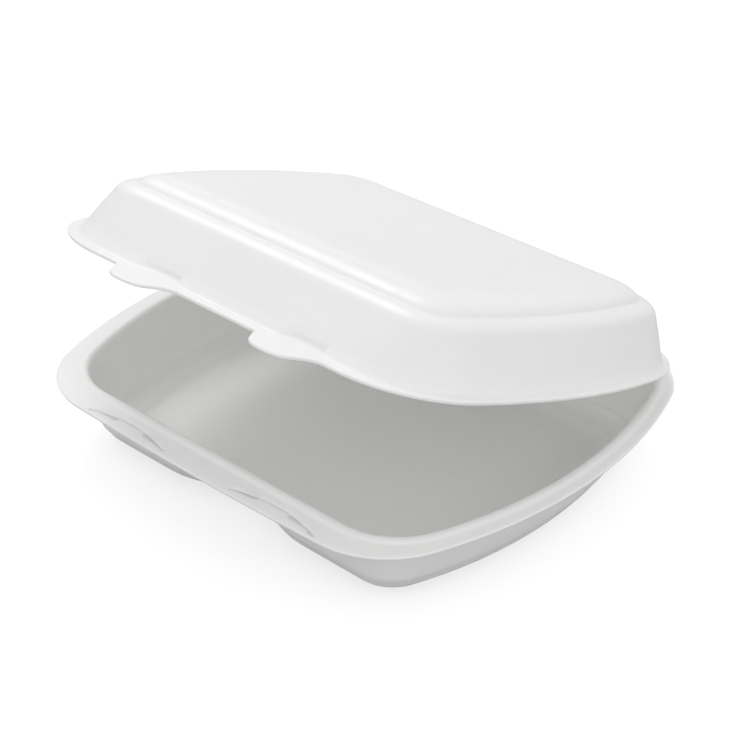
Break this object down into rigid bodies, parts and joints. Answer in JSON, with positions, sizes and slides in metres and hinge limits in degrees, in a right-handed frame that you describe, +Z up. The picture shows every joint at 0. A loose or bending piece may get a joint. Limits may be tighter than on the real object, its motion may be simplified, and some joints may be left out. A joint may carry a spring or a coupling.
{
  "type": "foam clamshell container",
  "caption": "Hinged takeaway meal box pressed from white foam sheet: shallow tray with a finger hollow, domed lid standing ajar, latch tongues and matching rim slits.",
  "frame": {"origin": "middle of the underside that the box stands on: midway between the two ends and between the front and back rim edges of the base", "axes": "+Z up, +X along the front edge to the right as seen from the front, -Y towards the front edge with the latch, fold along the back edge at +Y"},
  "size_m": [0.252, 0.2108, 0.1236],
  "materials": {
    "base_foam": "white polystyrene foam with a smooth, slightly pearly skin",
    "lid_foam": "white polystyrene foam with a smooth, slightly pearly skin",
    "fold_foam": "the same foam pressed thin"
  },
  "bodies": {
    "base": {"base": "base_foam", "hinge_strip": "fold_foam"},
    "lid": {"lid": "lid_foam"}
  },
  "joints": [
    {"name": "lid_hinge", "type": "hinge", "parent": "base", "child": "lid", "pos_m": [0, 0.1058, 0.0366], "axis": [-1, 0, 0], "range_deg": [-19.6, 160.4]}
  ]
}
